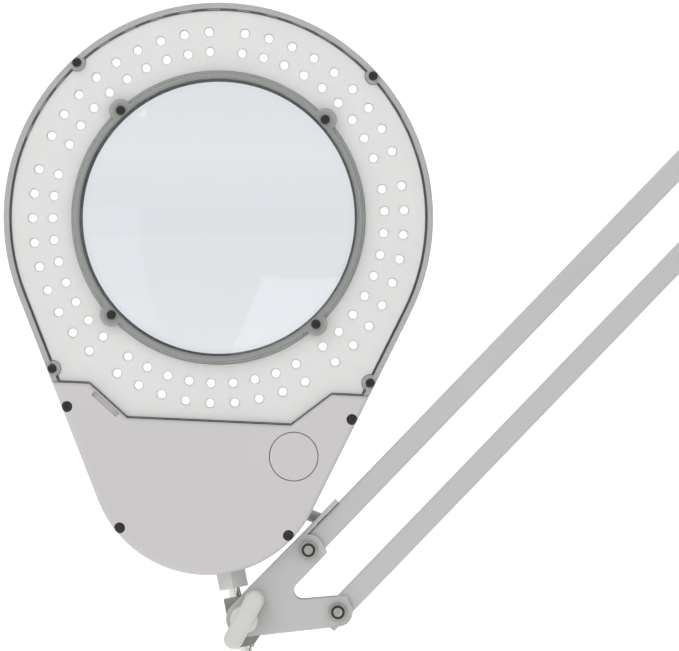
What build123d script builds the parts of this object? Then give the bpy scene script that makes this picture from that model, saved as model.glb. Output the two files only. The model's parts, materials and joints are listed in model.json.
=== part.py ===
from build123d import *
from math import asin, atan2, cos, degrees, hypot, radians, sin
import os

# Magnifying desk lamp: a ring of lamps around a lens, on a spring balanced arm
# with a desk clamp. +Z is up, the arm lies in the XZ plane, the lens faces -Y,
# and the origin is the middle of the clamp's upper pad, where it meets the desk.
# All sizes are in millimetres and degrees.

# Fits
running_gap = 0.08      # radial, between a pin and the bore that turns on it
side_gap = 0.1          # between flat faces that slide on each other
free_gap = 0.3          # between faces that must never touch

# Arm tubes
bar_length = 380.0      # between a tube's two pivots
bar_width = 10.0
bar_wall = 1.0
bar_corner = 1.2
half_bar = bar_width / 2
square_tail = half_bar + 2.6    # a square tube end, past its pivot
front_slope = 46.0      # front tubes at rest, above the horizontal
rear_lean = 6.0         # rear tubes at rest, from the vertical
bush_flange = 0.4
bush_radius = 3.3
bush_flange_radius = 4.3

# Plates that hold the pivots
plate_thickness = 1.5
fork_link = (13.3, -28.1)       # from the upper to the lower pivot of the front tubes
rear_link = (30.0, 6.0)         # from the left to the right pivot of the rear tubes
elbow_offset = (30.0, -34.0)    # from the upper front pivot to the left rear pivot
plate_margin = half_bar + 3.5   # plate edge past a pivot in the elbow and the base
anchor_margin = half_bar + 0.5  # and past a spring's anchor
cheek_inner = half_bar + bush_flange + side_gap     # plates' faces, from the arm plane
cheek_outer = cheek_inner + plate_thickness
spacer_radius = 4.5
spacer_bore = 2.2

# Pivot fasteners
bolt_radius = 2.0
bolt_head_height = 2.8
nut_flats = 7.0
nut_height = 3.2
collar_radius = 3.1
collar_height = 1.0
washer_radius = 4.4
washer_thickness = 0.8
bolt_spare = 0.7

# Springs
spring_radius = 4.7
spring_wire = 1.2
spring_side = cheek_outer + 6.0     # each spring's distance from the arm plane
spring_reach = 120.0            # post on the tube, from the tube's pivot
anchor_reach = 22.0             # anchor on the plates, from the same pivot
front_anchor_angle = 98.0
rear_anchor_angle = -10.0
post_radius = 2.0
coil_start = 12.0               # coil's first turn, from the post
coil_length = 70.0
hook_overlap = 6.0              # hook wire inside the coil
hook_radius = 3.0               # of the loop's centre line
stem_offset = 1.44              # straight wire from the coil to its loop, off the axis
pin_reach = spring_side + 3.4   # a spring pin's end, from the arm plane
pin_collar = 1.0

# Head
lens_radius = 63.5
lens_curve = 5.5 * lens_radius
lens_edge = 2.4
lens_depth = -4.0               # middle of the lens, from the arm plane
head_roll = 2.6                 # head's own axis at rest, clockwise from vertical
band_width = 33.5               # lamp ring, from the lens's edge to the head's
head_radius = lens_radius + band_width
tail_radius = 53.0
tail_drop = head_radius + 11.6  # from the lens centre to the tail arc's centre
shell_front = -11.0
shell_back = 15.0
shell_wall = 2.4
shell_round = 12.0
cover_thickness = 2.0
cover_seat = 0.04               # the clear cover's and the lens ring's faces, from their seats
cover_round = 0.8
cover_rim = 1.0
cover_rim_depth = 2.0
rim_inset = 3.6                 # lamp board's edge, from the head's
lower_cover_rise = 1.0          # lower cover stands this far in front of the clear one
lower_cover_round = 2.0
seam_gap = 0.25
board_seam = 0.8                # lamp board's lower edge, above the seam
shoulder_half = tail_radius + 1.7   # the seam's corners, each side of the head's axis
shoulder_drop = tail_drop - 31.1
tray_half = shoulder_half - 17.7
tray_drop = shoulder_drop + 14.7
notch_length = 15.0             # finger notch beside the seam's left slope
notch_width = 2.4
notch_depth = 1.8
notch_step = 2.0                # its middle, below the seam
vent_pitch = 8.0
vent_width = 6.0
vent_front = -5.0
vent_length = 9.0
vent_depth = 4.0
vent_reach = 68.0               # last vent, either side of the top
lens_gap = 0.3                  # lens's edge to its well

# Lens ring
ring_inner = lens_radius - 0.9
ring_outer = lens_radius + 1.7
ring_skirt = 1.1
ring_flange = 1.5
ring_round = 0.5
tab_radius = 5.2
ring_screw_radius = lens_radius + 1.8   # the four ring screws, from the lens centre
gasket_thickness = 0.8
seat_radius = lens_radius - 2.1

# Lamps
lamp_rings = (lens_radius + 0.612 * band_width, lens_radius + 0.343 * band_width)
lamp_groups = 5
lamps_in_group = 9
lamp_pitch = 7.62
lamp_radius = 1.6
lamp_base_radius = 1.9
lamp_height = 3.0
mask_hole_radius = 2.3
mask_thickness = 1.0
mask_front = -9.2
board_thickness = 1.6
board_front = -6.0
board_inside = 3.0              # board's round hole, from the lens's edge

# Head screws
edge_inset = 2.3                # screws along the rim, from the head's edge
rim_screw_angle = 45.0
low_rim_screw_drop = shoulder_drop - 5.9    # below the lens centre, either side of the seam
upper_cover_screw_drop = shoulder_drop + 10.9
lower_cover_screw_angle = -41.2
small_head_radius = 2.1
cover_head_radius = 2.3
head_recess = 0.2               # radial, around the lower cover's sunk screw heads
head_height = 1.3
shank_radius = 1.1
shank_length = 9.0
boss_radius = 3.6

# Button, driver and switch
button_centre = (tail_radius - 14.1, 2.3 - tail_drop)
button_radius = 10.9
button_flange = 1.3
button_flange_thickness = 1.2
button_travel = 1.5
button_well_depth = 4.0
driver_size = (tail_radius + 13.0, 34.0)
driver_height = 0.6 - tail_drop # middle of the board, above the lens centre
driver_front = 3.0
switch_size = 12.0
plunger_radius = 3.0
plunger_gap = 0.3               # left when the button is pressed
switch_margin = 5.0
button_wire = 0.7
button_spring_radius = 7.0
button_spring_turns = 4

# Neck, stud and knuckle
neck_turn = 13.8                # stud axis from the head's axis
stud_radius = 2.65
stud_showing = 4.2
neck_flats = 2 * stud_radius + 7.7
neck_length = 7.4
neck_depth = 9.0                # collar inside the shell
neck_shank = stud_radius + 2.85
neck_foot = 0.6                 # hexagon let into the shell's curve
knuckle_left = stud_radius + 2.85   # block's sides, from the stud axis
knuckle_right = stud_radius + 5.55
knuckle_length = 22.6
knuckle_chamfer = 4.1
knuckle_half = cheek_inner - 0.2
screw_drop = 10.2               # wing screw axis, below the block's top
screw_offset = 2.1              # and beside the stud axis
stud_end = 3.0
clip_radius = stud_radius + 1.55
clip_thickness = 1.0
gland_radius = 2.8
gland_bore = 1.4
gland_length = 9.0
gland_inside = 6.0
gland_gap = 0.5                 # from the fork cheek, which the cord passes beside
gland_depth = cheek_outer + gland_radius + gland_gap
gland_turn = 18.0
gland_side = 27.5

# Fork and wing knob
fork_slope = 47.1               # line between the wing screw and the upper pivot
fork_length = 42.6
fork_upper_radius = half_bar + 2.0
fork_lower_radius = half_bar + 1.7
fork_end_radius = 8.3
slot_radius = half_bar - 1.0
slot_centre = (-2.6, -18.6)     # from the upper pivot
slot_slope = 5.0
tongue_reach = 24.8
web_reach = 20.0                # web's lower end, from the upper pivot
wing_screw_radius = 3.0
wing_screw_cover = 2.0          # knob in front of the screw's end
rear_head_radius = 5.5
rear_head_height = 3.0
wing_hub_radius = 6.3
wing_hub_front = -cheek_outer - 9.0
wing_hub_round = 2.0
lobe_reach = 14.5
lobe_radius = 4.4
lobe_turn = 62.0
lobe_back = -cheek_outer - 2.5
lobe_front = -cheek_outer - 11.5
lobe_round = 3.0

# Base and clamp
base_pivot = (15.0, 78.0)
base_floor = 46.0
base_floor_thickness = 3.0
base_floor_half = 16.0
swivel_radius = 6.0
bush_wall = 1.5
boss_top = 44.0
boss_wall = 5.0
bush_foot = 2.0                 # bush, above the clamp's underside
bush_lip = 3.0
bush_lip_thickness = 1.5
clamp_half_width = 20.0
clamp_thickness = 9.0
jaw_tip = 30.0
web_inside = 32.0
lower_jaw_top = -69.0
lower_jaw_tip = 15.0
upper_pad_size = (50.0, 34.0)
upper_pad_thickness = 2.0
clamp_corner = 3.0
desk_thickness = 30.0           # what the clamp holds at rest
pad_radius = 17.0
pad_rubber = 2.0
pad_plate = 4.0
pad_socket = 2.0                # screw's end inside the pad
clamp_screw_radius = 5.0
clamp_screw_end = -126.0
screw_head_radius = 8.0
screw_head_height = 16.0
tommy_radius = 3.0
tommy_length = 72.0
tommy_end_radius = 4.0
tommy_end_length = 3.0

os.makedirs("parts", exist_ok=True)


def moved(point, angle, distance):
    """The point at a distance from another one, at an angle from +X towards +Z."""
    x = point[0] + distance * cos(radians(angle))
    return x, point[1] + distance * sin(radians(angle))


def shifted(point, step):
    return point[0] + step[0], point[1] + step[1]


# Pivots, from the clamp up the arm to the head
base_link_pivot = (base_pivot[0] - rear_link[0], base_pivot[1] - rear_link[1])
elbow_right = moved(base_pivot, 90 - rear_lean, bar_length)
elbow_left = (elbow_right[0] - rear_link[0], elbow_right[1] - rear_link[1])
elbow_upper = (elbow_left[0] - elbow_offset[0], elbow_left[1] - elbow_offset[1])
elbow_lower = shifted(elbow_upper, fork_link)
fork_upper = moved(elbow_upper, 180 + front_slope, bar_length)
fork_lower = shifted(fork_upper, fork_link)
wing_axis = moved(fork_upper, 180 + fork_slope, fork_length)

# The stud's axis leans by stud_lean from the vertical. Up along it from the wing
# screw come the block's top, the end of the neck collar and the tail arc's centre.
stud_lean = neck_turn - head_roll
stud_up = 90 + stud_lean
stud_point = moved(wing_axis, stud_up + 90, screw_offset)
block_top = moved(stud_point, stud_up, screw_drop)
neck_end = moved(block_top, stud_up, stud_showing)
tail_centre = moved(neck_end, stud_up, neck_length + tail_radius)
lens_centre = moved(tail_centre, 90 - head_roll, tail_drop)
head_place = Pos(lens_centre[0], 0, lens_centre[1]) * Rot(0, head_roll, 0)

# Spring ends
front_post = moved(elbow_upper, 180 + front_slope, spring_reach)
front_anchor = moved(elbow_upper, front_anchor_angle, anchor_reach)
rear_post = moved(base_pivot, 90 - rear_lean, spring_reach)
rear_anchor = moved(base_pivot, rear_anchor_angle, anchor_reach)


def disc(point, radius):
    return Pos(*point) * Circle(radius)


def strap(*discs):
    """The outline of a band pulled tight around some discs."""
    return make_hull([edge for shape in discs for edge in shape.edges()])


def plate(outline, low, high):
    """A solid with an outline drawn in XZ, between two Y values."""
    return Pos(0, high, 0) * extrude(Plane.XZ * outline, high - low)


def rod(point, radius, low, high):
    return plate(disc(point, radius), low, high)


def save(node, *solids):
    shape = solids[0] if len(solids) == 1 else Compound(list(solids))
    export_step(shape, f"parts/{node}.step")


def aimed(point, angle):
    """Local +X points along an angle in the arm plane."""
    return Pos(point[0], 0, point[1]) * Rot(0, -angle, 0)


def angle_between(start, end):
    return degrees(atan2(end[1] - start[1], end[0] - start[0]))


def distance_between(start, end):
    return hypot(end[0] - start[0], end[1] - start[1])


# Arm tubes and their bushes

def square_tube(start, end, tail=0, posts=()):
    """A square tube with round ends, or with a square end that reaches past its start."""
    angle = angle_between(start, end)
    length = distance_between(start, end)
    start_end = disc(start, half_bar)
    if tail:
        square_middle = moved(start, angle + 180, tail - half_bar)
        start_end = Pos(*square_middle) * Rot(0, 0, angle) * Rectangle(bar_width, bar_width)
    outline = strap(start_end, disc(end, half_bar))
    body = plate(outline, -half_bar, half_bar)
    long_edges = body.edges().filter_by(lambda edge: edge.length > length / 3)
    body = fillet(long_edges, bar_corner)
    inner = bar_width - 2 * bar_wall
    body -= aimed(start, angle) * Box(3 * length, inner, inner)
    for pivot in (start, end):
        body -= rod(pivot, bush_radius, -bar_width, bar_width)
    for post in posts:
        body -= rod(post, post_radius, -bar_width, bar_width)
    return body


def bush(pivot):
    sleeve = rod(pivot, bush_radius, -half_bar, half_bar)
    for side in (-half_bar - bush_flange, half_bar):
        sleeve += rod(pivot, bush_flange_radius, side, side + bush_flange)
    bore = bolt_radius + running_gap
    return sleeve - rod(pivot, bore, -bar_width, bar_width)


# Pivot fasteners: heads behind the arm, nuts in front

def hexagon(point, flats):
    return Pos(*point) * RegularPolygon(flats / 2, 6, major_radius=False)


def pivot_bolt(point):
    head_back = cheek_outer + bolt_head_height
    tip = -cheek_outer - washer_thickness - nut_height - collar_height - bolt_spare
    bolt = rod(point, bolt_radius, tip, cheek_outer)
    bolt += plate(hexagon(point, nut_flats), cheek_outer, head_back)
    return bolt - rod(point, bolt_radius / 2.5, tip, tip + bolt_spare)


def pivot_washer(point):
    ring = disc(point, washer_radius) - disc(point, bolt_radius)
    return plate(ring, -cheek_outer - washer_thickness, -cheek_outer)


def pivot_nut(point):
    seat = -cheek_outer - washer_thickness
    nut = plate(hexagon(point, nut_flats), seat - nut_height, seat)
    nut += rod(point, collar_radius, seat - nut_height - collar_height, seat - nut_height)
    return nut - rod(point, bolt_radius, seat - nut_height - collar_height, seat)


# Springs: a coil that hangs on the tube's post, and a hook from the plates' anchor

def on_both_sides(make, *sizes):
    return [make(side * spring_side, *sizes) for side in (-1, 1)]


def wire_loop(side, point):
    ring = Torus(hook_radius, spring_wire / 2)
    return Pos(point[0], side, point[1]) * Rot(90, 0, 0) * ring


def coil(side, post, anchor):
    """The coil's plain outer shape, with the loop around the post."""
    place = Pos(0, side, 0) * aimed(post, angle_between(post, anchor)) * Rot(0, 90, 0)
    tube = Circle(spring_radius) - Circle(spring_radius - spring_wire)
    body = place * Pos(0, 0, coil_start) * extrude(tube, coil_length)
    cap = Circle(spring_radius) - Circle(spring_wire)
    body += place * Pos(0, 0, coil_start) * extrude(cap, spring_wire)
    tail_length = coil_start - hook_radius
    stem = Pos(stem_offset, 0) * Circle(spring_wire / 2)
    body += place * Pos(0, 0, hook_radius) * extrude(stem, tail_length)
    return body + wire_loop(side, post)


def hook(side, post, anchor):
    """The straight wire from inside the coil to the loop around the anchor."""
    place = Pos(0, side, 0) * aimed(anchor, angle_between(anchor, post)) * Rot(0, 90, 0)
    reach = distance_between(post, anchor) - coil_start - coil_length + hook_overlap
    wire = extrude(Circle(spring_wire / 2), reach - hook_radius)
    return place * Pos(0, 0, hook_radius) * wire + wire_loop(side, anchor)


def cross_pin(point):
    """A pin across the arm with a keeping disc outside each spring loop."""
    pin = rod(point, post_radius - running_gap, -pin_reach, pin_reach)
    for side in (-pin_reach, pin_reach - pin_collar):
        pin += rod(point, post_radius + spring_wire, side, side + pin_collar)
    return pin


# Clamp and base

def clamp_frame():
    top = upper_pad_thickness
    back = web_inside + clamp_thickness
    floor = lower_jaw_top - clamp_thickness
    outline = Polyline(
        (-jaw_tip, top), (web_inside, top), (web_inside, lower_jaw_top),
        (-lower_jaw_tip, lower_jaw_top), (-lower_jaw_tip, floor), (back, floor),
        (back, top + clamp_thickness), (-jaw_tip, top + clamp_thickness), close=True
    )
    body = plate(make_face(outline), -clamp_half_width, clamp_half_width)
    body = fillet(body.edges().filter_by(Axis.Y).sort_by(Axis.X)[-2:], clamp_corner)
    body = fillet(body.edges().filter_by(Axis.Y).sort_by(Axis.X)[:2], clamp_corner)
    socket = swivel_radius + bush_wall
    body += Pos(0, 0, top) * extrude(Circle(socket + boss_wall), boss_top - top)
    body -= Pos(0, 0, top + bush_foot) * extrude(Circle(socket), boss_top)
    return body - Pos(0, 0, floor) * extrude(
        Circle(clamp_screw_radius + running_gap), clamp_thickness
    )


def upper_jaw_pad():
    return Pos(0, 0, upper_pad_thickness / 2) * Box(*upper_pad_size, upper_pad_thickness)


def swivel_bush():
    bore = swivel_radius + running_gap
    wall = Circle(swivel_radius + bush_wall) - Circle(bore)
    foot = upper_pad_thickness + bush_foot
    sleeve = Pos(0, 0, foot) * extrude(wall, boss_top - foot)
    lip = Circle(swivel_radius + bush_wall + bush_lip) - Circle(bore)
    return sleeve + Pos(0, 0, boss_top) * extrude(lip, bush_lip_thickness)


def swivel_pin():
    foot = upper_pad_thickness + bush_foot + 1
    return Pos(0, 0, foot) * extrude(Circle(swivel_radius), base_floor - foot)


def base_bracket():
    """Two cheeks that stand on a floor, with the pivots of both rear tubes."""
    middle = Pos(0, 0, base_floor + base_floor_thickness / 2)
    body = middle * Box(2 * base_floor_half - 4, 2 * cheek_inner + plate_thickness,
                        base_floor_thickness)
    foot_left = (-base_floor_half + 1, base_floor + 1)
    foot_right = (base_floor_half - 1, base_floor + 1)
    cheek = strap(
        disc(base_pivot, plate_margin), disc(base_link_pivot, plate_margin),
        disc(rear_anchor, anchor_margin), disc(foot_left, 1), disc(foot_right, 1)
    )
    for point in (base_pivot, base_link_pivot, rear_anchor):
        cheek -= disc(point, bolt_radius + running_gap)
    body += plate(cheek, -cheek_outer, -cheek_inner)
    return body + plate(cheek, cheek_inner, cheek_outer)


def clamp_screw():
    top = -desk_thickness - pad_rubber - pad_plate + pad_socket
    body = Pos(0, 0, clamp_screw_end) * extrude(
        Circle(clamp_screw_radius), top - clamp_screw_end
    )
    head = Pos(0, 0, clamp_screw_end) * extrude(Circle(screw_head_radius), screw_head_height)
    cross = Pos(0, 0, clamp_screw_end + screw_head_height / 2) * Rot(0, 90, 0)
    bore = Cylinder(tommy_radius + running_gap, 4 * screw_head_radius)
    return body + head - cross * bore


def tommy_bar():
    place = Pos(0, 0, clamp_screw_end + screw_head_height / 2) * Rot(0, 90, 0)
    bar = Cylinder(tommy_radius, tommy_length)
    for side in (-1, 1):
        end = side * (tommy_length + tommy_end_length) / 2
        bar += Pos(0, 0, end) * Cylinder(tommy_end_radius, tommy_end_length)
    return place * bar


def pressure_disc():
    under = -desk_thickness - pad_rubber - pad_plate
    body = Pos(0, 0, under) * extrude(Circle(pad_radius), pad_plate)
    return body - Pos(0, 0, under) * extrude(
        Circle(clamp_screw_radius + running_gap), pad_socket + side_gap
    )


def pressure_rubber():
    return Pos(0, 0, -desk_thickness - pad_rubber) * extrude(Circle(pad_radius), pad_rubber)


# Elbow

def elbow_plate(low, high):
    pivots = (elbow_upper, elbow_lower, elbow_left, elbow_right)
    outline = strap(
        *[disc(pivot, plate_margin) for pivot in pivots], disc(front_anchor, anchor_margin)
    )
    for pivot in pivots:
        outline -= disc(pivot, bolt_radius + running_gap)
    outline -= disc(front_anchor, post_radius)
    return plate(outline, low, high)


def elbow_spacer():
    middle = shifted(elbow_upper, (elbow_offset[0], elbow_offset[1] / 2.4))
    ring = disc(middle, spacer_radius) - disc(middle, spacer_bore)
    return plate(ring, -cheek_inner, cheek_inner)


# Fork

def fork():
    """Two cheeks with a slot between their arms, and a web along the upper edge."""
    cheek = strap(
        disc(fork_upper, fork_upper_radius), disc(fork_lower, fork_lower_radius),
        disc(wing_axis, fork_end_radius)
    )
    slot_end = shifted(fork_upper, slot_centre)
    reach = fork_length * 2
    cheek -= strap(
        disc(slot_end, slot_radius), disc(moved(slot_end, front_slope, reach), slot_radius),
        disc(moved(slot_end, slot_slope, reach), slot_radius)
    )
    for pivot in (fork_upper, fork_lower):
        cheek -= disc(pivot, bolt_radius + running_gap)
    cheek -= disc(wing_axis, wing_screw_radius + running_gap)
    body = plate(cheek, -cheek_outer, -cheek_inner) + plate(cheek, cheek_inner, cheek_outer)
    # The web's upper part lies along the tube and stops it, and its lower part
    # follows the cheeks' edge down to where the knuckle needs room.
    inside = half_bar + free_gap
    thickness = fork_upper_radius - inside
    rise = inside + thickness / 2
    upper_length = tongue_reach
    upper = aimed(fork_upper, front_slope) * Pos(upper_length / 2, 0, rise)
    body += upper * Box(upper_length, 2 * cheek_outer, thickness)
    lower = aimed(fork_upper, fork_slope) * Pos(-web_reach / 2, 0, rise)
    return body + lower * Box(web_reach, 2 * cheek_outer, thickness)


def knuckle_block():
    right = stud_up - 90
    top_left = moved(block_top, right + 180, knuckle_left)
    top_right = moved(block_top, right, knuckle_right)
    down = stud_up + 180
    low_left = moved(top_left, down, knuckle_length)
    low_right = moved(low_left, right, knuckle_left + knuckle_right - knuckle_chamfer)
    side_right = moved(top_right, down, knuckle_length - knuckle_chamfer)
    outline = make_face(Polyline(top_left, top_right, side_right, low_right, low_left, close=True))
    body = plate(outline, -knuckle_half, knuckle_half)
    bore = aimed(block_top, stud_up) * Rot(0, 90, 0)
    body -= bore * Cylinder(stud_radius + running_gap, 3 * knuckle_length)
    return body - rod(wing_axis, wing_screw_radius, -knuckle_half, knuckle_half)


def rear_pivot_screw():
    seat = cheek_outer + side_gap
    back = seat + rear_head_height
    screw = rod(wing_axis, wing_screw_radius, stud_radius + free_gap, seat)
    screw += rod(wing_axis, rear_head_radius, seat, back)
    slot = aimed(wing_axis, front_slope) * Pos(0, back, 0)
    return screw - slot * Box(3 * rear_head_radius, 2, 1.2)


def wing_screw():
    tip = -stud_radius - free_gap
    return rod(wing_axis, wing_screw_radius, wing_hub_front + wing_screw_cover, tip)


def wing_knob():
    """A hub with two rounded lobes, one to each side."""
    back = -cheek_outer - side_gap
    hub = rod(wing_axis, wing_hub_radius, wing_hub_front, back)
    lobes = strap(
        disc(moved(wing_axis, lobe_turn, lobe_reach - lobe_radius), lobe_radius),
        disc(moved(wing_axis, lobe_turn + 180, lobe_reach - lobe_radius), lobe_radius)
    )
    wing = plate(lobes, lobe_front, lobe_back)
    front_edges = wing.edges().filter_by(lambda edge: edge.center().Y < lobe_front + 0.1)
    hub_edges = hub.edges().filter_by(lambda edge: edge.center().Y < wing_hub_front + 0.1)
    knob = fillet(hub_edges, wing_hub_round) + fillet(front_edges, lobe_round)
    return knob - rod(wing_axis, wing_screw_radius, wing_hub_front + wing_screw_cover, back)


# Head. These shapes are drawn around the lens centre and placed by head_place.

def head_outline(inset):
    upper = disc((0, 0), head_radius - inset)
    return strap(upper, disc((0, -tail_drop), tail_radius - inset))


def above_seam(gap):
    wide = 2 * head_radius
    shoulder = -shoulder_drop + gap
    tray = -tray_drop + gap
    corners = (
        (-wide, shoulder), (-shoulder_half, shoulder), (-tray_half, tray), (tray_half, tray),
        (shoulder_half, shoulder), (wide, shoulder), (wide, wide), (-wide, wide)
    )
    return make_face(Polyline(*corners, close=True))


def side_point(drop):
    """A screw's place beside the head's straight edge, at a distance below the lens centre."""
    lean = asin((head_radius - tail_radius) / tail_drop)
    return (head_radius - edge_inset - drop * sin(lean)) / cos(lean), -drop


def mirrored(points):
    return points + [(-point[0], point[1]) for point in points]


def rim_screws():
    upper = moved((0, 0), 90 - rim_screw_angle, head_radius - edge_inset)
    return mirrored([upper, side_point(low_rim_screw_drop)])


def ring_screws():
    return [moved((0, 0), 45 + 90 * step, ring_screw_radius) for step in range(4)]


def lower_screws():
    low = moved((0, -tail_drop), lower_cover_screw_angle, tail_radius - edge_inset)
    return mirrored([side_point(upper_cover_screw_drop), low])


def rounded_shell(inset):
    """A solid of the shell's outline, set in by a distance, with its back edge rounded."""
    solid = plate(head_outline(inset), shell_front - 1 if inset else shell_front,
                  shell_back - inset)
    back_edges = solid.edges().filter_by(lambda edge: edge.center().Y > shell_back - inset - 1)
    return fillet(back_edges, shell_round - inset)


def back_shell():
    body = rounded_shell(0) - rounded_shell(shell_wall)
    well = lens_radius + lens_gap
    body += rod((0, 0), well + shell_wall, shell_front, shell_back - 1)
    for point in rim_screws() + lower_screws():
        body += rod(point, boss_radius, shell_front, shell_back - shell_wall) & rounded_shell(0.5)
    for point in ring_screws():
        body += rod(point, boss_radius, shell_front, shell_front + shank_length)
    seat = lens_depth + lens_edge / 2 + gasket_thickness
    body -= rod((0, 0), well, shell_front - 1, seat)
    body -= rod((0, 0), seat_radius, shell_front, shell_back + 1)
    for point in rim_screws() + ring_screws() + lower_screws():
        body -= rod(point, shank_radius, shell_front, shell_front + shank_length)
    body -= button_well()
    for step in range(int(2 * vent_reach / vent_pitch) + 1):
        angle = 90 - vent_reach + step * vent_pitch
        if abs(abs(angle - 90) - rim_screw_angle) > vent_pitch * 0.6:
            body -= vent(angle)
    body -= gland_place() * Cylinder(gland_radius, 30)
    return body - neck_place() * Pos(0, 0, -neck_depth / 2) * Cylinder(neck_shank, neck_depth)


def vent(angle):
    """A slot through the side wall, cut in from outside at an angle around the lens."""
    middle = vent_front + vent_length / 2
    place = Rot(0, -angle, 0) * Pos(head_radius, middle, 0)
    return place * Box(2 * vent_depth, vent_length, vent_width)


def clear_cover():
    outline = head_outline(0) & above_seam(seam_gap / 2)
    front = shell_front - cover_thickness
    body = plate(outline, front, shell_front - cover_seat)
    front_edges = body.edges().filter_by(lambda edge: edge.center().Y < front + 0.01)
    body = fillet(front_edges, cover_round)
    inside = shell_wall + 0.1
    rim = (head_outline(inside) - head_outline(inside + cover_rim)) & above_seam(2)
    body += plate(rim, shell_front - 0.1, shell_front + cover_rim_depth)
    body -= rod((0, 0), lens_radius + lens_gap, 2 * shell_front, 0)
    for point in rim_screws():
        body -= rod(point, boss_radius + 0.2, shell_front, shell_front + cover_rim_depth)
    return drilled(body, rim_screws() + ring_screws())


def drilled(body, points):
    for point in points:
        body -= rod(point, shank_radius, 3 * shell_front, shell_back)
    return body


def lower_cover():
    front = shell_front - cover_thickness - lower_cover_rise
    outline = head_outline(0) - above_seam(-seam_gap / 2)
    body = plate(outline, front, shell_front)
    rim = body.edges().filter_by(lambda edge: edge.center().Y < front + 0.01)
    body = fillet(rim, lower_cover_round)
    body -= rod(button_centre, button_radius + free_gap, front - 1, shell_front + 1)
    for point in lower_screws():
        body -= rod(point, cover_head_radius + head_recess, front - 1, front + head_height)
    return drilled(body - finger_notch(front), lower_screws())


def finger_notch(front):
    slope_start, slope_end = (-shoulder_half, -shoulder_drop), (-tray_half, -tray_drop)
    slope = angle_between(slope_start, slope_end)
    middle = moved(slope_start, slope, distance_between(slope_start, slope_end) / 2)
    middle = moved(middle, slope - 90, notch_step)
    return aimed(middle, slope) * Pos(0, front, 0) * Box(notch_length, 2 * notch_depth, notch_width)


def screw(point, seat, head_radius_here):
    head = rod(point, head_radius_here, seat - head_height, seat)
    edge = head.edges().sort_by(Axis.Y)[0]
    head = fillet(edge, head_height * 0.6)
    slot = Pos(point[0], seat - head_height, point[1])
    for angle in (20, 110):
        head -= slot * Rot(0, angle, 0) * Box(head_radius_here * 1.2, 1.2, 0.6)
    return head + rod(point, shank_radius, seat, shell_front + shank_length - 0.5)


def small_screws():
    cover_front = shell_front - cover_thickness
    screws = [screw(point, cover_front, small_head_radius) for point in rim_screws()]
    tab_front = cover_front - ring_flange
    return screws + [screw(point, tab_front, small_head_radius) for point in ring_screws()]


def cover_screws():
    seat = shell_front - cover_thickness - lower_cover_rise + head_height
    return [screw(point, seat, cover_head_radius) for point in lower_screws()]


def lens():
    """A lens with the same curve on both faces."""
    half_edge = lens_edge / 2
    sag = lens_curve - (lens_curve ** 2 - lens_radius ** 2) ** 0.5
    ball = Sphere(lens_curve)
    offset = lens_curve - half_edge - sag
    body = Pos(0, offset, 0) * ball & Pos(0, -offset, 0) * ball
    return Pos(0, lens_depth, 0) * (body & Rot(90, 0, 0) * Cylinder(lens_radius, 60))


def lens_gasket():
    seat = lens_depth + lens_edge / 2
    ring = Circle(lens_radius) - Circle(seat_radius)
    return plate(ring, seat, seat + gasket_thickness) - lens()


def lens_ring():
    """The flange and skirt that hold the lens, with four screw tabs."""
    front = shell_front - cover_thickness
    flange = disc((0, 0), ring_outer)
    for point in ring_screws():
        flange += disc(point, tab_radius)
    body = plate(flange - disc((0, 0), ring_inner), front - ring_flange, front - cover_seat)
    front_edges = body.edges().filter_by(lambda edge: edge.center().Y < front - ring_flange + 0.01)
    body = fillet(front_edges, ring_round)
    skirt = disc((0, 0), ring_inner + ring_skirt) - disc((0, 0), ring_inner)
    body += plate(skirt, front - cover_seat, lens_depth - lens_edge / 2)
    return drilled(body, ring_screws()) - lens()


def lamp_places():
    """Both rings' places, in groups with a lamp's gap between them."""
    places = []
    for radius in lamp_rings:
        for group in range(lamp_groups):
            start = 90 + group * 360 / lamp_groups + 180 / lamp_groups
            for lamp in range(lamps_in_group):
                turn = (lamp - (lamps_in_group - 1) / 2) * lamp_pitch
                places.append(moved((0, 0), start + turn, radius))
    return places


def lamps():
    solids = []
    for point in lamp_places():
        base_front = board_front - 1
        body = rod(point, lamp_base_radius, base_front, board_front)
        body += rod(point, lamp_radius, board_front - lamp_height + 1, base_front)
        tip = Pos(point[0], board_front - lamp_height + 1, point[1])
        solids.append(body + tip * Sphere(lamp_radius))
    return solids


def board_outline():
    inside = disc((0, 0), lens_radius + board_inside)
    return (head_outline(rim_inset) & above_seam(board_seam)) - inside


def lamp_board():
    body = plate(board_outline(), board_front, board_front + board_thickness)
    return cleared(body)


def lamp_mask():
    outline = board_outline()
    holes = [disc(point, mask_hole_radius) for point in lamp_places()]
    return cleared(plate(outline - holes, mask_front, mask_front + mask_thickness))


def cleared(body):
    for point in rim_screws() + ring_screws():
        body -= rod(point, boss_radius + 0.3, shell_front, 0)
    return body


def button_well():
    well_radius = button_radius + button_flange + 1
    return rod(button_centre, well_radius, shell_front - 1, shell_front + button_well_depth)


def button_cap():
    front = shell_front - cover_thickness - lower_cover_rise
    back = shell_front + side_gap
    cap = rod(button_centre, button_radius, front, back)
    flange = button_radius + button_flange
    cap += rod(button_centre, flange, back, back + button_flange_thickness)
    return fillet(cap.edges().sort_by(Axis.Y)[0], 0.5)


def button_back():
    return shell_front + side_gap + button_flange_thickness


def button_spring():
    height = driver_front - switch_size / 2 - button_back() - button_wire
    path = Helix(height / button_spring_turns, height, button_spring_radius)
    start = path @ 0
    section = Plane(origin=start, z_dir=path % 0) * Circle(button_wire / 2)
    wire = sweep(section, path=path)
    place = Pos(button_centre[0], button_back() + button_wire / 2, button_centre[1])
    return place * Rot(-90, 0, 0) * wire


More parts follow.
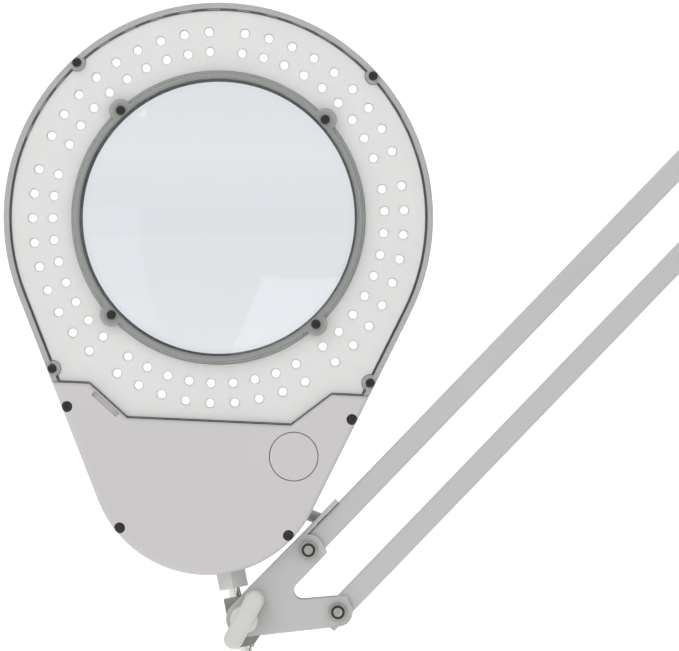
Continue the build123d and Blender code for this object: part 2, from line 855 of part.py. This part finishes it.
def switch():
    front = driver_front - switch_size / 2
    base = Pos(button_centre[0], driver_front - switch_size / 4, button_centre[1])
    wide = 2 * (plunger_radius + switch_margin)
    body = base * Box(wide, switch_size / 2, wide)
    tip = button_back() + button_travel + plunger_gap
    return body + rod(button_centre, plunger_radius, tip, front)


def driver_board():
    """A board for the switch and the lamps' supply."""
    right = button_centre[0] + switch_size / 2
    middle = (right - driver_size[0] / 2, driver_front + board_thickness / 2, driver_height)
    return Pos(*middle) * Box(driver_size[0], board_thickness, driver_size[1])


def driver_parts():
    """The supply's transformer, choke and two capacitors, standing on the board."""
    height = driver_height
    core = Pos(4, driver_front - 5, height) * Box(16, 10, 18)
    choke = Pos(-11, driver_front - 4, height + 8) * Rot(90, 0, 0) * Cylinder(5, 8)
    small = Pos(-11, driver_front - 4, height - 7) * Rot(90, 0, 0) * Cylinder(4, 8)
    return core, choke, small


def neck_place():
    """Local +Z runs outward along the stud's axis, from the shell's edge."""
    outward = 270 + neck_turn
    edge = moved((0, -tail_drop), outward, tail_radius)
    return Pos(edge[0], 0, edge[1]) * Rot(0, -neck_turn, 0) * Rot(180, 0, 0)


def neck_collar():
    """A hexagonal collar outside the shell, on a round shank inside it."""
    section = Rot(0, 0, 30) * hexagon((0, 0), neck_flats)
    body = Pos(0, 0, -neck_foot) * extrude(section, neck_length + neck_foot)
    body += Pos(0, 0, -neck_depth) * extrude(Circle(neck_shank), neck_depth)
    body -= Cylinder(stud_radius, 3 * (neck_length + neck_depth))
    return neck_place() * body - rounded_shell(0)


def stud():
    length = neck_length + stud_showing + knuckle_length + stud_end
    return neck_place() * Pos(0, 0, -neck_depth) * extrude(
        Circle(stud_radius), neck_depth + length
    )


def stud_clip():
    start = neck_length + stud_showing + knuckle_length + side_gap
    ring = Circle(clip_radius) - Circle(stud_radius)
    return neck_place() * Pos(0, 0, start) * extrude(ring, clip_thickness)


def gland_place():
    edge = moved((0, -tail_drop), -gland_side, tail_radius)
    return Pos(edge[0], gland_depth, edge[1]) * Rot(0, gland_turn, 0) * Rot(0, 90, 0)


def cable_gland():
    """A grommet through the shell's side, where the lamp's lead would enter."""
    ring = Circle(gland_radius) - Circle(gland_bore)
    body = Pos(0, 0, -gland_inside) * extrude(ring, gland_inside + gland_length)
    return gland_place() * body


def save_all(group):
    for node, shape in group.items():
        solids = shape if isinstance(shape, (list, tuple)) else [shape]
        save(node, *solids)


def group_of(make, *points):
    return [make(point) for point in points]


def clamp_pieces():
    return {
        "clamp_frame": clamp_frame(), "upper_jaw_pad": upper_jaw_pad(),
        "swivel_bush": swivel_bush(), "clamp_screw": clamp_screw(),
        "tommy_bar": tommy_bar(), "pressure_disc": pressure_disc(),
        "pressure_rubber": pressure_rubber()
    }


def base_pieces():
    pivots = (base_pivot, base_link_pivot)
    return {
        "swivel_pin": swivel_pin(), "base_bracket": base_bracket(),
        "base_bolts": group_of(pivot_bolt, *pivots),
        "base_nuts": group_of(pivot_nut, *pivots),
        "rear_spring_anchor": cross_pin(rear_anchor),
        "rear_main_tube": square_tube(elbow_right, base_pivot, 0, (rear_post,)),
        "rear_main_bushes": group_of(bush, base_pivot, elbow_right),
        "rear_spring_post": cross_pin(rear_post),
        "rear_link_tube": square_tube(elbow_left, base_link_pivot),
        "rear_link_bushes": group_of(bush, base_link_pivot, elbow_left),
        "rear_springs": on_both_sides(coil, rear_post, rear_anchor),
        "rear_spring_hooks": on_both_sides(hook, rear_post, rear_anchor)
    }


def elbow_pieces():
    pivots = (elbow_upper, elbow_lower, elbow_left, elbow_right)
    return {
        "elbow_front_plate": elbow_plate(-cheek_outer, -cheek_inner),
        "elbow_rear_plate": elbow_plate(cheek_inner, cheek_outer),
        "elbow_bolts": group_of(pivot_bolt, *pivots),
        "elbow_nuts": group_of(pivot_nut, *pivots),
        "elbow_spacer": elbow_spacer(),
        "front_spring_anchor": cross_pin(front_anchor)
    }


def front_arm_pieces():
    pivots = (fork_upper, fork_lower)
    return {
        "front_main_tube": square_tube(fork_upper, elbow_upper, 0, (front_post,)),
        "front_main_bushes": group_of(bush, fork_upper, elbow_upper),
        "front_spring_post": cross_pin(front_post),
        "front_link_tube": square_tube(fork_lower, elbow_lower, square_tail),
        "front_link_bushes": group_of(bush, fork_lower, elbow_lower),
        "front_springs": on_both_sides(coil, front_post, front_anchor),
        "front_spring_hooks": on_both_sides(hook, front_post, front_anchor),
        "fork": fork(), "fork_bolts": group_of(pivot_bolt, *pivots),
        "fork_nuts": group_of(pivot_nut, *pivots),
        "fork_washers": group_of(pivot_washer, *pivots),
        "knuckle_block": knuckle_block(), "rear_pivot_screw": rear_pivot_screw(),
        "wing_screw": wing_screw(), "wing_knob": wing_knob()
    }


def head_pieces():
    return {
        "back_shell": back_shell(), "clear_cover": clear_cover(),
        "lower_cover": lower_cover(), "small_screws": small_screws(),
        "lower_cover_screws": cover_screws(), "lens": lens(), "lens_gasket": lens_gasket(),
        "lens_ring": lens_ring(), "lamp_board": lamp_board(), "lamps": lamps(),
        "lamp_mask": lamp_mask(), "button_cap": button_cap(),
        "button_spring": button_spring(), "switch": switch(),
        "driver_board": driver_board(), "driver_parts": driver_parts(),
        "neck_collar": neck_collar(), "swivel_stud": stud(), "stud_clip": stud_clip(),
        "cable_gland": cable_gland()
    }


def placed(pieces):
    return {
        node: [head_place * solid for solid in shape] if isinstance(shape, (list, tuple))
        else head_place * shape
        for node, shape in pieces.items()
    }


save_all(clamp_pieces())
save_all(base_pieces())
save_all(elbow_pieces())
save_all(front_arm_pieces())
save_all(placed(head_pieces()))
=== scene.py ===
import json
from math import atan2, pi
import bmesh
import bpy
from mathutils import Matrix, Vector


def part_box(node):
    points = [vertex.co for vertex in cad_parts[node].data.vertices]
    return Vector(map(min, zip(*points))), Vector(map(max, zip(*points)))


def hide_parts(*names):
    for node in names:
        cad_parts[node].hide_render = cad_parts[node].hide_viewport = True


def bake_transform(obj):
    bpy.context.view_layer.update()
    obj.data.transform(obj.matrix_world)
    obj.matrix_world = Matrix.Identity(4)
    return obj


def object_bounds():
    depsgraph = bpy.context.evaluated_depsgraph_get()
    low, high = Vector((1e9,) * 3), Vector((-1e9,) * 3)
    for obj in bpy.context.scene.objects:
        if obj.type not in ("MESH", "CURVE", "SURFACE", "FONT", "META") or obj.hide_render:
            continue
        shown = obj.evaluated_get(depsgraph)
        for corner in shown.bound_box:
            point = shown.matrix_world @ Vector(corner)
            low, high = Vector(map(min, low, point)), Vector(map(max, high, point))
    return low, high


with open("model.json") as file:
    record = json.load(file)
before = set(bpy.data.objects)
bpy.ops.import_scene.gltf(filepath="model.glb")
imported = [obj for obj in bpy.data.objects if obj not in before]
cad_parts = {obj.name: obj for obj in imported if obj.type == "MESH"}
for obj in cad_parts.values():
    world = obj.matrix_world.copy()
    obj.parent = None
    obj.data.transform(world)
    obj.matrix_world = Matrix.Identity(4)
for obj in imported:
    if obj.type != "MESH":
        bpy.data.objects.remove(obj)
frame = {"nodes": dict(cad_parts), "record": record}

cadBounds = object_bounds()
print("frame loaded:", len(frame["nodes"]), "nodes")

mm = 0.001


# Places on the lamp, read from the frame

def middleOf(node):
    low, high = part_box(node)
    return (Vector(low) + Vector(high)) / 2


jointList = {joint["name"]: joint for joint in frame["record"]["behaviour"]["joints"]}


def pivotOf(jointName):
    return Vector(jointList[jointName]["pos_m"])


lensCentre = middleOf("lens")
lensCentre.y = 0


# Node helpers

colourA, colourB, mixedColour = 6, 7, 2  # a mix node's sockets when it mixes colours


def linearColour(hexText):
    parts = [int(hexText[start:start + 2], 16) / 255 for start in (1, 3, 5)]
    bent = [part / 12.92 if part <= 0.04045 else ((part + 0.055) / 1.055) ** 2.4 for part in parts]
    return (*bent, 1.0)


def addNode(tree, kind, settings=None, links=None):
    node = tree.nodes.new(kind)
    for key, value in (settings or {}).items():
        if isinstance(key, int) or key in node.inputs:
            node.inputs[key].default_value = value
        else:
            setattr(node, key, value)
    for key, source in (links or {}).items():
        tree.links.new(source, node.inputs[key])
    return node


def startMaterial(name, settings):
    material = bpy.data.materials.new(name)
    material.use_nodes = True
    tree = material.node_tree
    shader = tree.nodes["Principled BSDF"]
    for key, value in settings.items():
        shader.inputs[key].default_value = value
    place = addNode(tree, "ShaderNodeTexCoord").outputs["Object"]
    return material, tree, shader, place


def perMetre(sizeMm):
    return 1 / (sizeMm * mm)  # noise scale whose features are this many mm across


def addNoise(tree, vector, sizeMm, detail):
    noise = addNode(tree, "ShaderNodeTexNoise", {"Scale": perMetre(sizeMm), "Detail": detail},
                    {"Vector": vector})
    return noise.outputs["Fac"]


def addShades(tree, factor, first, second, target):
    shades = addNode(tree, "ShaderNodeMix",
                     {"data_type": "RGBA", colourA: linearColour(first), colourB: linearColour(second)},
                     {"Factor": factor})
    tree.links.new(shades.outputs[mixedColour], target)


def addRange(tree, value, low, high, target):
    ranged = addNode(tree, "ShaderNodeMapRange", {"To Min": low, "To Max": high}, {"Value": value})
    tree.links.new(ranged.outputs["Result"], target)


def addBump(tree, shader, height, strength, depthMm):
    bump = addNode(tree, "ShaderNodeBump", {"Strength": strength, "Distance": depthMm * mm},
                   {"Height": height})
    tree.links.new(bump.outputs["Normal"], shader.inputs["Normal"])


def addMottle(tree, shader, place, look):
    # two close shades in broad soft patches, as pigment and light handling give
    patches = addNoise(tree, place, look["patchMm"], 3.0)
    addShades(tree, patches, look["dark"], look["light"], shader.inputs["Base Color"])


def addGrain(tree, shader, place, look):
    grain = addNoise(tree, place, look["grainMm"], 2.0)
    addBump(tree, shader, grain, look["grainStrength"], look["grainDepthMm"])
    addRange(tree, grain, look["roughLow"], look["roughHigh"], shader.inputs["Roughness"])


# Powder coated steel: sprayed dry and baked, so it has a faint orange peel
powderCoat = {"dark": "#afaeae", "light": "#b7b6b6", "patchMm": 60, "grainMm": 0.9,
              "grainStrength": 0.25, "grainDepthMm": 0.05, "roughLow": 0.38, "roughHigh": 0.52}
# ABS moulded in a spark-eroded tool: even, dull, very fine tooth
shellAbs = {"dark": "#b8b5b6", "light": "#bebbbc", "patchMm": 80, "grainMm": 0.6,
            "grainStrength": 0.22, "grainDepthMm": 0.04, "roughLow": 0.42, "roughHigh": 0.58}
# Nylon moulded: a little waxy and lighter than the shell
knobNylon = {"dark": "#bcbdba", "light": "#c4c5c2", "patchMm": 15, "grainMm": 0.5,
             "grainStrength": 0.15, "grainDepthMm": 0.03, "roughLow": 0.36, "roughHigh": 0.48}
# White polystyrene sheet, die cut
maskStyrene = {"dark": "#f0f0ee", "light": "#f6f6f4", "patchMm": 40, "grainMm": 0.5,
               "grainStrength": 0.08, "grainDepthMm": 0.02, "roughLow": 0.4, "roughHigh": 0.5}
# Neoprene: moulded, matt, dusty black
neoprene = {"dark": "#1c1c1c", "light": "#262626", "patchMm": 10, "grainMm": 0.5,
            "grainStrength": 0.4, "grainDepthMm": 0.05, "roughLow": 0.75, "roughHigh": 0.9}
# Grey silicone, die cut: the lens's gasket
greySilicone = {"dark": "#8c8f8d", "light": "#989b99", "patchMm": 12, "grainMm": 0.5,
                "grainStrength": 0.2, "grainDepthMm": 0.03, "roughLow": 0.5, "roughHigh": 0.62}
# Natural nylon, turned: bushes
naturalNylon = {"dark": "#dcdad2", "light": "#e6e4dc", "patchMm": 8, "grainMm": 0.4,
                "grainStrength": 0.1, "grainDepthMm": 0.02, "roughLow": 0.35, "roughHigh": 0.45}
# Bakelite and epoxy cased parts on the supply board; also the painted dark reflection on the lock nuts'
# collars
blackCaseAndCollarReflection = {"dark": "#151516", "light": "#202022", "patchMm": 6, "grainMm": 0.5,
             "grainStrength": 0.2, "grainDepthMm": 0.02, "roughLow": 0.35, "roughHigh": 0.5}
# Glass epoxy board with green lacquer
boardLacquer = {"dark": "#0f4a2a", "light": "#176038", "patchMm": 5, "grainMm": 1.2,
                "grainStrength": 0.1, "grainDepthMm": 0.02, "roughLow": 0.25, "roughHigh": 0.35}


def dullMaterial(name, look, settings=None):
    base = {"IOR": 1.5}
    base.update(settings or {})
    material, tree, shader, place = startMaterial(name, base)
    addMottle(tree, shader, place, look)
    addGrain(tree, shader, place, look)
    return material


# Metals keep the default IOR. The scratches are noise, stretched where the metal was drawn or turned.
scratch = {"lengthShare": 4, "strength": 0.15, "depthMm": 0.02}
steelLooks = {
    "zincPlatedSteel": {"dark": "#91918e", "light": "#b9b9b6", "patchMm": 3, "scratchMm": 0.15,
                        "stretch": (1, 6, 1), "roughLow": 0.26, "roughHigh": 0.42},
    "nickelSteel": {"dark": "#c2c2be", "light": "#dededa", "patchMm": 5, "scratchMm": 0.2,
                    "stretch": (6, 6, 1), "roughLow": 0.1, "roughHigh": 0.2},
    "blackenedSteel": {"dark": "#2c2b2a", "light": "#4a4947", "patchMm": 1.5, "scratchMm": 0.15,
                       "stretch": (1, 1, 1), "roughLow": 0.3, "roughHigh": 0.45},
    "oiledSteel": {"dark": "#7b7c77", "light": "#91928c", "patchMm": 6, "scratchMm": 0.25,
                   "stretch": (1, 8, 1), "roughLow": 0.32, "roughHigh": 0.5},
    "springSteel": {"dark": "#9b9b99", "light": "#bcbcba", "patchMm": 4, "scratchMm": 0.2,
                    "stretch": (1, 1, 1), "roughLow": 0.2, "roughHigh": 0.32},
}


def steelMaterial(name):
    look = steelLooks[name]
    material, tree, shader, place = startMaterial(name, {"Metallic": 1.0})
    addMottle(tree, shader, place, look)
    drawn = addNode(tree, "ShaderNodeMapping", {"Scale": look["stretch"]}, {"Vector": place})
    scratches = addNoise(tree, drawn.outputs["Vector"], look["scratchMm"] * scratch["lengthShare"], 4.0)
    addRange(tree, scratches, look["roughLow"], look["roughHigh"], shader.inputs["Roughness"])
    addBump(tree, shader, scratches, scratch["strength"], scratch["depthMm"])
    return material


# Moulded acrylic: clear and glossy, with darker edges because light runs out of them
clearAcrylic = {"tint": "#e4e6e8", "edgeTint": "#6c706e", "faceAlpha": 0.06, "edgeAlpha": 0.8,
                "edgeBlend": 0.4}
# The same, thicker and faintly smoked, where it grips the lens
smokedAcrylic = {"tint": "#a0a4a0", "edgeTint": "#5c605d", "faceAlpha": 0.55, "edgeAlpha": 0.85,
                 "edgeBlend": 0.4}
acrylicHaze = {"patchMm": 12, "roughLow": 0.03, "roughHigh": 0.09}


def acrylicMaterial(name, look):
    material, tree, shader, place = startMaterial(name, {"IOR": 1.49})
    haze = addNoise(tree, place, acrylicHaze["patchMm"], 2.0)
    addRange(tree, haze, acrylicHaze["roughLow"], acrylicHaze["roughHigh"], shader.inputs["Roughness"])
    weight = addNode(tree, "ShaderNodeLayerWeight", {"Blend": look["edgeBlend"]})
    facing = weight.outputs["Facing"]
    addShades(tree, facing, look["tint"], look["edgeTint"], shader.inputs["Base Color"])
    addRange(tree, facing, look["faceAlpha"], look["edgeAlpha"], shader.inputs["Alpha"])
    return material


# Ground and polished optical glass with a faint cool tint
opticalGlass = {"tint": "#d5d8dd", "patchMm": 40, "roughLow": 0.0, "roughHigh": 0.02}


def glassMaterial(name, look):
    material, tree, shader, place = startMaterial(name, {"IOR": 1.52, "Transmission Weight": 1.0})
    film = addNoise(tree, place, look["patchMm"], 2.0)
    addRange(tree, film, look["roughLow"], look["roughHigh"], shader.inputs["Roughness"])
    shader.inputs["Base Color"].default_value = linearColour(look["tint"])
    return material


# Epoxy lens over a phosphor: milky white, lit from inside
lampEpoxy = {"dark": "#f4f4f0", "light": "#ffffff", "patchMm": 1, "grainMm": 0.4,
             "grainStrength": 0.05, "grainDepthMm": 0.01, "roughLow": 0.15, "roughHigh": 0.25}
lampGlow = 0.5


def makeMaterials():
    lampMaterial = dullMaterial("epoxyLamp", lampEpoxy, {
        "Emission Color": (1, 1, 1, 1), "Emission Strength": lampGlow})
    made = {
        "powderCoat": dullMaterial("powderCoatedSteel", powderCoat),
        "shellAbs": dullMaterial("mouldedAbs", shellAbs),
        "knobNylon": dullMaterial("mouldedNylon", knobNylon),
        "maskStyrene": dullMaterial("whiteStyrene", maskStyrene),
        "neoprene": dullMaterial("neopreneRubber", neoprene),
        "greySilicone": dullMaterial("greySilicone", greySilicone),
        "naturalNylon": dullMaterial("naturalNylon", naturalNylon),
        "blackCaseAndCollarReflection": dullMaterial("epoxyCaseAndCollarReflection", blackCaseAndCollarReflection),
        "boardLacquer": dullMaterial("lacqueredBoard", boardLacquer),
        "lampEpoxy": lampMaterial,
        "clearAcrylic": acrylicMaterial("clearAcrylic", clearAcrylic),
        "smokedAcrylic": acrylicMaterial("smokedAcrylic", smokedAcrylic),
        "opticalGlass": glassMaterial("opticalGlass", opticalGlass),
    }
    for name in steelLooks:
        made[name] = steelMaterial(name)
    return made


nodeFinishes = {
    "powderCoat": ("base_bracket", "rear_main_tube", "rear_link_tube", "elbow_front_plate",
                   "elbow_rear_plate", "front_main_tube", "front_link_tube", "fork", "clamp_frame"),
    "shellAbs": ("back_shell", "lower_cover", "button_cap", "cable_gland"),
    "knobNylon": ("wing_knob", "neck_collar"),
    "maskStyrene": ("lamp_mask", "lamp_board"),
    "lampEpoxy": ("lamps",),
    "clearAcrylic": ("clear_cover",),
    "smokedAcrylic": ("lens_ring",),
    "opticalGlass": ("lens",),
    "blackenedSteel": ("small_screws", "lower_cover_screws", "rear_pivot_screw"),
    "zincPlatedSteel": ("base_bolts", "elbow_bolts", "fork_bolts", "fork_washers", "elbow_spacer",
                        "wing_screw", "clamp_screw", "pressure_disc", "tommy_bar",
                        "rear_spring_anchor", "front_spring_anchor", "rear_spring_post",
                        "front_spring_post", "base_nuts", "elbow_nuts", "fork_nuts"),
    "nickelSteel": ("swivel_stud", "swivel_pin", "stud_clip"),
    "oiledSteel": ("knuckle_block",),
    "springSteel": ("button_spring",),
    "neoprene": ("upper_jaw_pad", "pressure_rubber"),
    "greySilicone": ("lens_gasket",),
    "naturalNylon": ("swivel_bush", "rear_main_bushes", "rear_link_bushes", "front_main_bushes",
                     "front_link_bushes"),
    "boardLacquer": ("driver_board",),
    "blackCaseAndCollarReflection": ("switch", "driver_parts"),
}


def dressNodes(materials):
    for finish, nodes in nodeFinishes.items():
        for node in nodes:
            mesh = frame["nodes"][node].data
            mesh.materials.clear()
            mesh.materials.append(materials[finish])


# Lock nuts: a painted dark reflection on the raised collar in front of the hexagon, given as black
# faces

collarMm = 0.95


def paintCollarReflection(nodes, material):
    for node in nodes:
        mesh = frame["nodes"][node].data
        mesh.materials.append(material)
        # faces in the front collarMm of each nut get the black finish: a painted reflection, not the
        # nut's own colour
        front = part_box(node)[0][1] + collarMm * mm
        for face in mesh.polygons:
            face.material_index = int(face.center.y < front)


# Mesh helpers

def meshPiece(name, bm, material, smooth=True):
    bmesh.ops.recalc_face_normals(bm, faces=bm.faces)
    mesh = bpy.data.meshes.new(name)
    bm.to_mesh(mesh)
    bm.free()
    piece = bpy.data.objects.new(name, mesh)
    bpy.context.scene.collection.objects.link(piece)
    mesh.materials.append(material)
    if smooth:
        mesh.polygons.foreach_set("use_smooth", [True] * len(mesh.polygons))
    return piece


# Arm springs: close coils of round wire with a loop at each end, sizes in mm

springLook = {"wire": 1.2, "coilRadius": 4.1, "loopRadius": 3.0, "coilStart": 12.0,
              "coilLength": 70.0, "wireSides": 8, "stepsPerTurn": 18, "sideOffset": 13.0,
              "loopSteps": 24, "coilSlope": 0.1, "weld": 0.001}


def wireSection(bm, centre, normal):
    turn = Vector((0, 0, 1)).rotation_difference(Vector(normal)).to_matrix().to_4x4()
    made = bmesh.ops.create_circle(bm, cap_ends=False, segments=springLook["wireSides"],
                                   radius=springLook["wire"] / 2,
                                   matrix=Matrix.Translation(centre) @ turn)
    verts = made["verts"]
    return verts + list({edge for vert in verts for edge in vert.link_edges})


def wireArc(bm, start, normal, cent, axis, angle, steps, rise=(0, 0, 0)):
    section = wireSection(bm, start, normal)
    bmesh.ops.spin(bm, geom=section, cent=cent, axis=axis, dvec=rise, angle=angle, steps=steps,
                   use_merge=False, use_duplicate=False)


def wireRun(bm, start, length):
    section = wireSection(bm, start, (0, 0, 1))
    edges = [item for item in section if isinstance(item, bmesh.types.BMEdge)]
    made = bmesh.ops.extrude_edge_only(bm, edges=edges)
    verts = [item for item in made["geom"] if isinstance(item, bmesh.types.BMVert)]
    bmesh.ops.translate(bm, verts=verts, vec=(0, 0, length))


def addSpringPair(name, joint, reach, turns, bodyB, nodes, material):
    look = springLook
    bm = bmesh.new()
    radius = look["coilRadius"]
    steps = turns * look["stepsPerTurn"]
    start = look["coilStart"]
    end = start + look["coilLength"]
    hop = look["loopRadius"]
    quarter = look["stepsPerTurn"] // 3
    for centre in ((0, 0, 0), (0, 0, reach)):
        wireArc(bm, (hop, 0, centre[2]), (0, 0, 1), centre, (0, 1, 0), 2 * pi,
                look["loopSteps"])
    wireRun(bm, (0, 0, hop), start - radius - hop)
    wireArc(bm, (radius, 0, start), (0, 0, 1), (0, 0, start), (0, 1, 0), pi / 2, quarter)
    wireArc(bm, (radius, 0, start), (0, 1, look["coilSlope"]), (0, 0, 0), (0, 0, 1), turns * 2 * pi,
            steps, (0, 0, look["coilLength"] / steps))
    wireArc(bm, (radius, 0, end), (0, 0, 1), (0, 0, end), (0, 1, 0), -pi / 2, quarter)
    wireRun(bm, (0, 0, end + radius), reach - hop - end - radius)
    bmesh.ops.remove_doubles(bm, verts=bm.verts, dist=look["weld"])
    rims = [edge for edge in bm.edges if edge.is_boundary]
    bmesh.ops.holes_fill(bm, edges=rims, sides=look["wireSides"])
    copy = bmesh.ops.duplicate(bm, geom=list(bm.verts) + list(bm.edges) + list(bm.faces))
    copied = [item for item in copy["geom"] if isinstance(item, bmesh.types.BMVert)]
    others = set(bm.verts) - set(copied)
    bmesh.ops.translate(bm, verts=list(others), vec=(0, -look["sideOffset"], 0))
    bmesh.ops.translate(bm, verts=copied, vec=(0, look["sideOffset"], 0))
    post = pivotOf(joint)
    slideAxis = springAxis(bodyB)
    turn = Matrix.Rotation(atan2(slideAxis.x, slideAxis.z), 4, "Y")
    bmesh.ops.transform(bm, matrix=Matrix.Translation(post) @ turn @ Matrix.Scale(mm, 4),
                        verts=bm.verts)
    piece = meshPiece(name, bm, material)
    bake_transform(piece)
    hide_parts(*nodes)


def springAxis(hookBody):
    for joint in jointList.values():
        if joint["child"] == hookBody:
            return Vector(joint["axis"]).normalized()


def addSprings(material):
    for arm, turns, anchorNode in (("front", 27, "front_spring_anchor"),
                                   ("rear", 38, "rear_spring_anchor")):
        anchor = middleOf(anchorNode)
        post = pivotOf(arm + "_spring_swing")
        reach = (anchor - post).length / mm
        addSpringPair(arm + "ArmSprings", arm + "_spring_swing", reach, turns,
                      arm + "_hook", (arm + "_springs", arm + "_spring_hooks"), material)


# Studio: a pale sweep, soft lights and the camera

studio = {"floorDrop": 0.04, "floorHalf": 16.0, "wallY": 10.0, "sweepRadius": 4.0, "wallRise": 10.0,
          "sweepSteps": 24, "roughness": 0.9,
          "paperColour": "#f4f4f3", "paperGlow": 0.38, "worldStrength": 0.75,
          "cardColour": "#2c2c2c", "cardPlace": (0.88, -0.5, -0.1), "cardHalf": (0.15, 0.6)}
cameraLook = {"aside": 0.0547, "below": 0.0488, "distance": 2.567, "focalMm": 300,
              "sensorMm": 36}
lightTarget = (0.15, 0, -0.05)  # from the lens's centre, towards the fork and the tubes
softLights = {
    "keySoftbox": {"place": (-0.9, -1.5, 1.3), "size": 1.4, "watts": 12.5},
    "fillSoftbox": {"place": (1.1, -1.3, 0.5), "size": 1.2, "watts": 4},
    "rimSoftbox": {"place": (0.4, 1.0, 1.4), "size": 1.0, "watts": 5},
}


def addStage():
    bm = bmesh.new()
    floorZ = cadBounds[0][2] - studio["floorDrop"]
    half = studio["floorHalf"]
    left = bm.verts.new((-half, -half, floorZ))
    right = bm.verts.new((half, -half, floorZ))
    edge = bm.edges.new((left, right))
    out = bmesh.ops.extrude_edge_only(bm, edges=[edge])
    verts = [item for item in out["geom"] if isinstance(item, bmesh.types.BMVert)]
    bmesh.ops.translate(bm, verts=verts, vec=(0, half + studio["wallY"], 0))
    last = [item for item in out["geom"] if isinstance(item, bmesh.types.BMEdge)
            and all(vert in verts for vert in item.verts)]
    radius = studio["sweepRadius"]
    spun = bmesh.ops.spin(bm, geom=verts + last, cent=(0, studio["wallY"], floorZ + radius),
                          axis=(1, 0, 0), angle=pi / 2, steps=studio["sweepSteps"],
                          use_merge=False)
    top = spun["geom_last"]
    topEdges = [item for item in top if isinstance(item, bmesh.types.BMEdge)]
    up = bmesh.ops.extrude_edge_only(bm, edges=topEdges)
    verts = [item for item in up["geom"] if isinstance(item, bmesh.types.BMVert)]
    bmesh.ops.translate(bm, verts=verts, vec=(0, 0, studio["wallRise"]))
    paper = linearColour(studio["paperColour"])
    material = startMaterial("paperSweep", {
        "Roughness": studio["roughness"], "Base Color": paper, "Emission Color": paper,
        "Emission Strength": studio["paperGlow"]})[0]
    sweep = meshPiece("studioSweep", bm, material)
    addDarkCard()
    world = bpy.data.worlds.new("studioWorld")
    bpy.context.scene.world = world
    world.use_nodes = True
    background = world.node_tree.nodes["Background"]
    background.inputs["Color"].default_value = (1, 1, 1, 1)
    background.inputs["Strength"].default_value = studio["worldStrength"]


def addDarkCard():
    # a black card on the right, seen only in the bright steel, which it gives a dark stripe
    bm = bmesh.new()
    bmesh.ops.create_grid(bm, x_segments=1, y_segments=1, size=1)
    bmesh.ops.scale(bm, vec=(*studio["cardHalf"], 1), verts=bm.verts)
    colour = linearColour(studio["cardColour"])
    material = startMaterial("blackCard", {"Roughness": studio["roughness"], "Base Color": colour})[0]
    card = meshPiece("blackCard", bm, material, smooth=False)
    card.location = lensCentre + Vector(studio["cardPlace"])
    aimAt(card, lensCentre)
    card.visible_camera = False


def aimAt(thing, target):
    direction = Vector(target) - thing.location
    thing.rotation_euler = direction.to_track_quat("-Z", "Y").to_euler()


def addLights():
    for name, look in softLights.items():
        light = bpy.data.lights.new(name, "AREA")
        light.energy = look["watts"]
        light.size = look["size"]
        lamp = bpy.data.objects.new(name, light)
        bpy.context.scene.collection.objects.link(lamp)
        lamp.location = lensCentre + Vector(look["place"])
        aimAt(lamp, lensCentre + Vector(lightTarget))


def addCamera():
    look = cameraLook
    target = lensCentre + Vector((look["aside"], 0, -look["below"]))
    data = bpy.data.cameras.new("bench")
    data.lens = look["focalMm"]
    data.sensor_width = look["sensorMm"]
    camera = bpy.data.objects.new("bench", data)
    bpy.context.scene.collection.objects.link(camera)
    camera.location = target - Vector((0, look["distance"], 0))
    aimAt(camera, target)
    bpy.context.scene.camera = camera
    bpy.context.scene.view_settings.view_transform = "Standard"


addCamera()
addStage()
addLights()
print("studio ready")
materials = makeMaterials()
dressNodes(materials)
# the black finish on the nuts' collars is a painted dark reflection
paintCollarReflection(("base_nuts", "elbow_nuts", "fork_nuts"), materials["blackCaseAndCollarReflection"])
print("nodes dressed")
addSprings(materials["springSteel"])
print("springs coiled")
